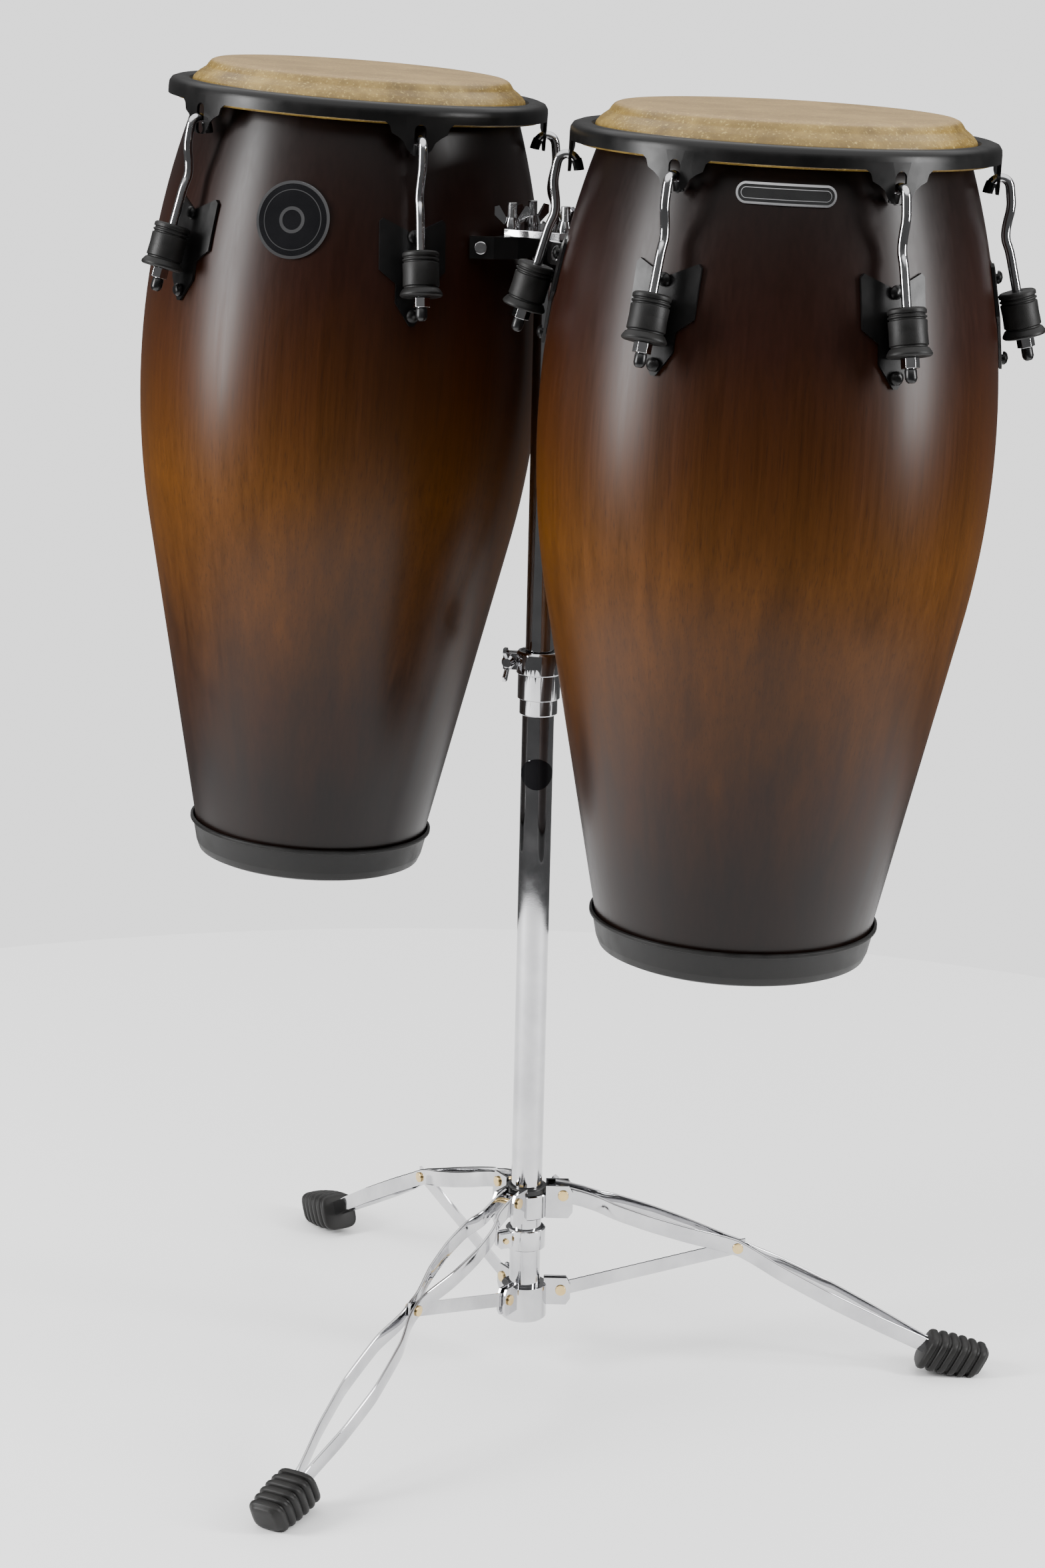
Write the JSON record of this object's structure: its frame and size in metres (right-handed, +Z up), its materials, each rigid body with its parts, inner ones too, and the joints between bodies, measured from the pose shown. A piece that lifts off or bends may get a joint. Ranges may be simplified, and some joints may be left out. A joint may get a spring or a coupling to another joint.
{
  "type": "conga drums",
  "caption": "Two tall barrel drums with tuning lugs and rims, hung side by side from a height and tilt adjustable folding tripod stand.",
  "frame": {"origin": "on the floor, under the middle of the whole object's box", "axes": "+Z up; +X along the row, from the smaller drum to the larger; -Y towards the audience"},
  "size_m": [0.844, 0.6928, 1.1931],
  "materials": {
    "stained_wood": "satin sunburst stain",
    "skin": "matte, mottled",
    "black_metal": "satin black coat",
    "chrome": "polished",
    "steel": "plain",
    "black_rubber": "moulded",
    "black_plastic": "moulded",
    "brass": "passivated",
    "badge_enamel": "gloss enamel with a bright edge"
  },
  "bodies": {
    "tube_base": {"lower_tube": "chrome", "lower_hub": "chrome", "lower_hub_rivets": "brass", "memory_lock": "chrome", "memory_lock_screw": "brass", "tube_badge": "badge_enamel", "height_clamp": "chrome", "clamp_bush": "black_plastic"},
    "clamp_screw": {"clamp_wing_screw": "chrome"},
    "mast": {"upper_tube": "chrome", "tilter_tongue": "chrome", "tilt_bolt": "steel"},
    "drum_pair": {"quinto_shell": "stained_wood", "quinto_head": "skin", "quinto_flesh_hoop": "steel", "quinto_rim": "black_metal", "quinto_tension_rods": "chrome", "quinto_lug_plates": "black_metal", "quinto_lug_barrels": "black_rubber", "quinto_tuning_nuts": "chrome", "quinto_rod_caps": "black_rubber", "quinto_lug_bolts": "black_metal", "quinto_base_ring": "black_rubber", "quinto_bracket": "black_metal", "quinto_round_badge": "badge_enamel", "conga_shell": "stained_wood", "conga_head": "skin", "conga_flesh_hoop": "steel", "conga_rim": "black_metal", "conga_tension_rods": "chrome", "conga_lug_plates": "black_metal", "conga_lug_barrels": "black_rubber", "conga_tuning_nuts": "chrome", "conga_rod_caps": "black_rubber", "conga_lug_bolts": "black_metal", "conga_base_ring": "black_rubber", "conga_bracket": "black_metal", "conga_name_plate": "badge_enamel", "crossbar": "chrome", "crossbar_studs": "steel", "bracket_bolts": "black_metal"},
    "sliding_hub": {"upper_hub": "chrome", "hub_ring": "black_plastic"},
    "hub_screw": {"hub_bolt": "chrome"},
    "wing_nut_1": {"wing_nut_1": "chrome"},
    "wing_nut_2": {"wing_nut_2": "chrome"},
    "wing_nut_3": {"wing_nut_3": "chrome"},
    "wing_nut_4": {"wing_nut_4": "chrome"},
    "leg_1": {"leg_1_straps": "chrome", "leg_1_rivets": "brass", "foot_1": "black_rubber"},
    "brace_1": {"brace_1": "chrome"},
    "leg_2": {"leg_2_straps": "chrome", "leg_2_rivets": "brass", "foot_2": "black_rubber"},
    "brace_2": {"brace_2": "chrome"},
    "leg_3": {"leg_3_straps": "chrome", "leg_3_rivets": "brass", "foot_3": "black_rubber"},
    "brace_3": {"brace_3": "chrome"}
  },
  "joints": [
    {"name": "hub_slide", "type": "slide", "parent": "tube_base", "child": "sliding_hub", "axis": [0, 0, 1], "range_m": [0, 0.2366]},
    {"name": "height_slide", "type": "slide", "parent": "tube_base", "child": "mast", "axis": [0, 0, 1], "range_m": [-0.11, 0.1]},
    {"name": "drum_tilt", "type": "hinge", "parent": "mast", "child": "drum_pair", "pos_m": [-0.01937, 0.09195, 1.03], "axis": [1, 0, 0], "range_deg": [-10, 12]},
    {"name": "clamp_screw_turn", "type": "hinge", "parent": "tube_base", "child": "clamp_screw", "pos_m": [-0.04167, 0.07593, 0.6715], "axis": [0.3502, -0.9367, 0], "range_deg": [0, 720]},
    {"name": "hub_screw_turn", "type": "hinge", "parent": "sliding_hub", "child": "hub_screw", "pos_m": [-0.02048, 0.11322, 0.1605], "axis": [-0.0523, 0.9986, 0], "range_deg": [0, 720]},
    {"name": "wing_nut_1_turn", "type": "hinge", "parent": "drum_pair", "child": "wing_nut_1", "pos_m": [-0.02237, 0.03595, 1.0592], "axis": [0, 0, 1], "range_deg": [0, 720]},
    {"name": "wing_nut_2_turn", "type": "hinge", "parent": "drum_pair", "child": "wing_nut_2", "pos_m": [-0.02237, 0.06795, 1.0592], "axis": [0, 0, 1], "range_deg": [0, 720]},
    {"name": "wing_nut_3_turn", "type": "hinge", "parent": "drum_pair", "child": "wing_nut_3", "pos_m": [0.03163, 0.03595, 1.0592], "axis": [0, 0, 1], "range_deg": [0, 720]},
    {"name": "wing_nut_4_turn", "type": "hinge", "parent": "drum_pair", "child": "wing_nut_4", "pos_m": [0.03163, 0.06795, 1.0592], "axis": [0, 0, 1], "range_deg": [0, 720]},
    {"name": "leg_1_fold", "type": "hinge", "parent": "sliding_hub", "child": "leg_1", "pos_m": [0.00915, 0.11047, 0.1711], "axis": [-0.5446, 0.8387, 0], "range_deg": [0, 60.2]},
    {"name": "brace_1_fold", "type": "hinge", "parent": "leg_1", "child": "brace_1", "pos_m": [0.14635, 0.19957, 0.1205], "axis": [-0.5446, 0.8387, 0], "range_deg": [-122.03, 0]},
    {"name": "leg_2_fold", "type": "hinge", "parent": "sliding_hub", "child": "leg_2", "pos_m": [-0.04966, 0.10739, 0.1711], "axis": [-0.454, -0.891, 0], "range_deg": [0, 60.2]},
    {"name": "brace_2_fold", "type": "hinge", "parent": "leg_2", "child": "brace_2", "pos_m": [-0.19543, 0.18166, 0.1205], "axis": [-0.454, -0.891, 0], "range_deg": [-122.03, 0]},
    {"name": "leg_3_fold", "type": "hinge", "parent": "sliding_hub", "child": "leg_3", "pos_m": [-0.01759, 0.058, 0.1711], "axis": [0.9986, 0.0523, 0], "range_deg": [0, 60.2]},
    {"name": "brace_3_fold", "type": "hinge", "parent": "leg_3", "child": "brace_3", "pos_m": [-0.00903, -0.10538, 0.1205], "axis": [0.9986, 0.0523, 0], "range_deg": [-122.03, 0]}
  ],
  "couplings": [
    {"joint": "leg_1_fold", "follows": "hub_slide", "rad_per_m": 4.4259},
    {"joint": "brace_1_fold", "follows": "hub_slide", "rad_per_m": -8.9717},
    {"joint": "leg_2_fold", "follows": "hub_slide", "rad_per_m": 4.4259},
    {"joint": "brace_2_fold", "follows": "hub_slide", "rad_per_m": -8.9717},
    {"joint": "leg_3_fold", "follows": "hub_slide", "rad_per_m": 4.4259},
    {"joint": "brace_3_fold", "follows": "hub_slide", "rad_per_m": -8.9717}
  ]
}
